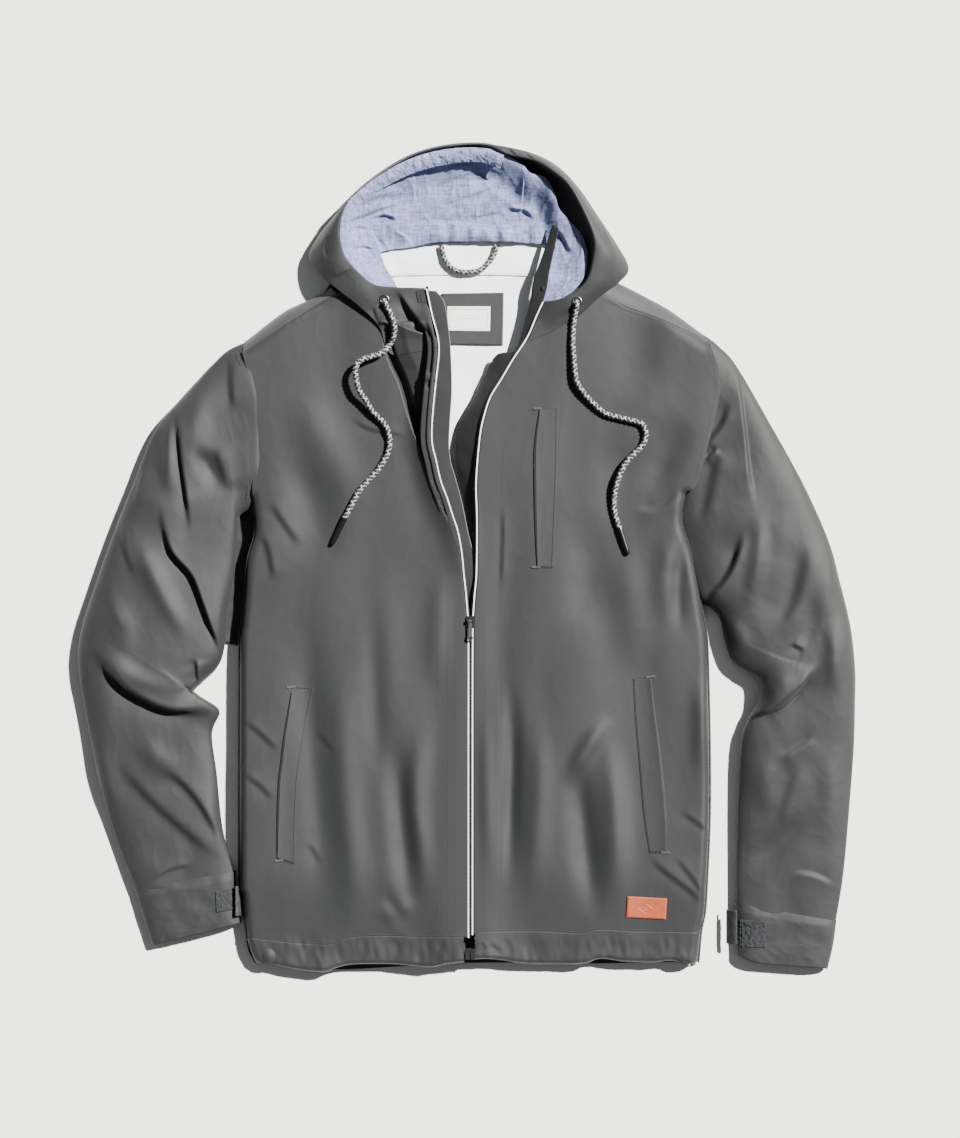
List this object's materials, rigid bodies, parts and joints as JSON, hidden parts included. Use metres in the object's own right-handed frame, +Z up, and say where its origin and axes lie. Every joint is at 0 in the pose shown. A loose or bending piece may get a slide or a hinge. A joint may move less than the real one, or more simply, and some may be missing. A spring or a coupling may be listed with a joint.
{
  "type": "foul weather jacket",
  "caption": "Hooded waterproof sailing jacket lying on its back, front zip half open, with drawcord hood, cuff tabs, welt pockets and a chambray-lined hood.",
  "frame": {"origin": "middle of the jacket's bounding box, on the floor it lies on", "axes": "+Z up out of the front of the jacket, +Y from the hem to the hood, +X towards the wearer's left"},
  "size_m": [0.834, 0.8869, 0.046],
  "materials": {
    "shell": "fine woven waterproof cloth, matte",
    "yoke": "fine woven waterproof cloth, matte",
    "facing": "fine woven cloth",
    "chambray": "heathered plain weave",
    "white_lining": "smooth woven lining",
    "label_cloth": "woven label",
    "label_white": "satin label",
    "tape": "woven zip tape",
    "coil": "moulded",
    "piping": "satin",
    "zip_metal": "gunmetal",
    "eyelet_metal": "gunmetal",
    "pull_rubber": "moulded",
    "cord_marled": "braided, black and white",
    "cord_black": "elastic, braided cover",
    "tip_plastic": "gloss",
    "lock_plastic": "moulded",
    "loop_fabric": "hook-and-loop pile",
    "tab_fabric": "hook-and-loop on cloth",
    "leather": "smooth tan leather"
  },
  "bodies": {
    "torso": {"back_panel": "shell", "shoulder_yoke": "yoke", "front_panel_left": "shell", "front_panel_right": "shell", "side_panels": "shell", "hem_band_left": "shell", "hem_band_right": "shell", "hem_band_back": "shell", "hem_drawcord": "cord_black", "cord_lock_left": "lock_plastic", "cord_lock_right": "lock_plastic", "placket_facing_left": "facing", "placket_facing_right": "facing", "storm_flap": "facing", "zip_tape_left": "tape", "zip_tape_right": "tape", "zip_coil_left": "coil", "zip_coil_right": "coil", "zip_piping": "piping", "zip_top_stops": "zip_metal", "zip_retainer_box": "coil", "chest_pocket_welt": "shell", "chest_pocket_bag": "chambray", "hand_pocket_welt_left": "shell", "hand_pocket_welt_right": "shell", "hand_pocket_bag_left": "chambray", "hand_pocket_bag_right": "chambray", "back_lining": "white_lining", "front_lining": "white_lining", "neck_facing": "white_lining", "neck_label": "label_cloth", "size_label": "label_white", "leather_patch": "leather", "collar_left": "shell", "collar_right": "shell", "drawcord_eyelets": "eyelet_metal", "collar_drawcord": "cord_marled", "drawcord_left": "cord_marled", "drawcord_right": "cord_marled", "cord_tip_left": "tip_plastic", "cord_tip_right": "tip_plastic"},
    "button_left": {"cord_lock_button_left": "lock_plastic"},
    "button_right": {"cord_lock_button_right": "lock_plastic"},
    "zip_slider": {"zip_slider": "zip_metal"},
    "zip_puller": {"zip_puller": "pull_rubber"},
    "hang_loop": {"hang_loop": "cord_marled"},
    "sleeve_left": {"sleeve_left": "shell", "cuff_left": "shell", "loop_patch_left": "loop_fabric"},
    "sleeve_right": {"sleeve_right": "shell", "cuff_right": "shell", "loop_patch_right": "loop_fabric"},
    "cuff_tab_left": {"cuff_tab_left": "tab_fabric"},
    "cuff_tab_right": {"cuff_tab_right": "tab_fabric"},
    "hood": {"hood_panel_left": "shell", "hood_panel_centre": "shell", "hood_panel_right": "shell", "hood_lining": "chambray", "hood_brim": "chambray", "hood_drawcord": "cord_marled"}
  },
  "joints": [
    {"name": "zip_slide", "type": "slide", "parent": "torso", "child": "zip_slider", "axis": [0, -1, 0], "range_m": [0, 0.338]},
    {"name": "zip_pull_swing", "type": "hinge", "parent": "zip_slider", "child": "zip_puller", "pos_m": [0.004, -0.069, 0.03], "axis": [-1, 0, 0], "range_deg": [0, 165]},
    {"name": "hood_flip", "type": "hinge", "parent": "torso", "child": "hood", "pos_m": [0, 0.336, 0.046], "axis": [1, 0, 0], "range_deg": [0, 110]},
    {"name": "sleeve_left_fold", "type": "hinge", "parent": "torso", "child": "sleeve_left", "pos_m": [0.269, 0.224, 0.028], "axis": [-0.1857, -0.9826, 0], "range_deg": [0, 115]},
    {"name": "sleeve_right_fold", "type": "hinge", "parent": "torso", "child": "sleeve_right", "pos_m": [-0.246, 0.226, 0.028], "axis": [-0.1019, 0.9948, 0], "range_deg": [0, 115]},
    {"name": "cuff_tab_left_turn", "type": "hinge", "parent": "sleeve_left", "child": "cuff_tab_left", "pos_m": [0.2893, -0.397, 0.022], "axis": [0, 1, 0], "range_deg": [0, 168]},
    {"name": "cuff_tab_right_turn", "type": "hinge", "parent": "sleeve_right", "child": "cuff_tab_right", "pos_m": [-0.2474, -0.369, 0.022], "axis": [0, -1, 0], "range_deg": [0, 168]},
    {"name": "hang_loop_lift", "type": "hinge", "parent": "torso", "child": "hang_loop", "pos_m": [0.002, 0.334, 0.007], "axis": [-1, 0, 0], "range_deg": [0, 88]},
    {"name": "cord_lock_left_press", "type": "slide", "parent": "torso", "child": "button_left", "axis": [0, -1, 0], "range_m": [0, 0.004], "stiffness_N_per_m": 300, "springref_m": -0.002},
    {"name": "cord_lock_right_press", "type": "slide", "parent": "torso", "child": "button_right", "axis": [0, -1, 0], "range_m": [0, 0.004], "stiffness_N_per_m": 300, "springref_m": -0.002}
  ]
}
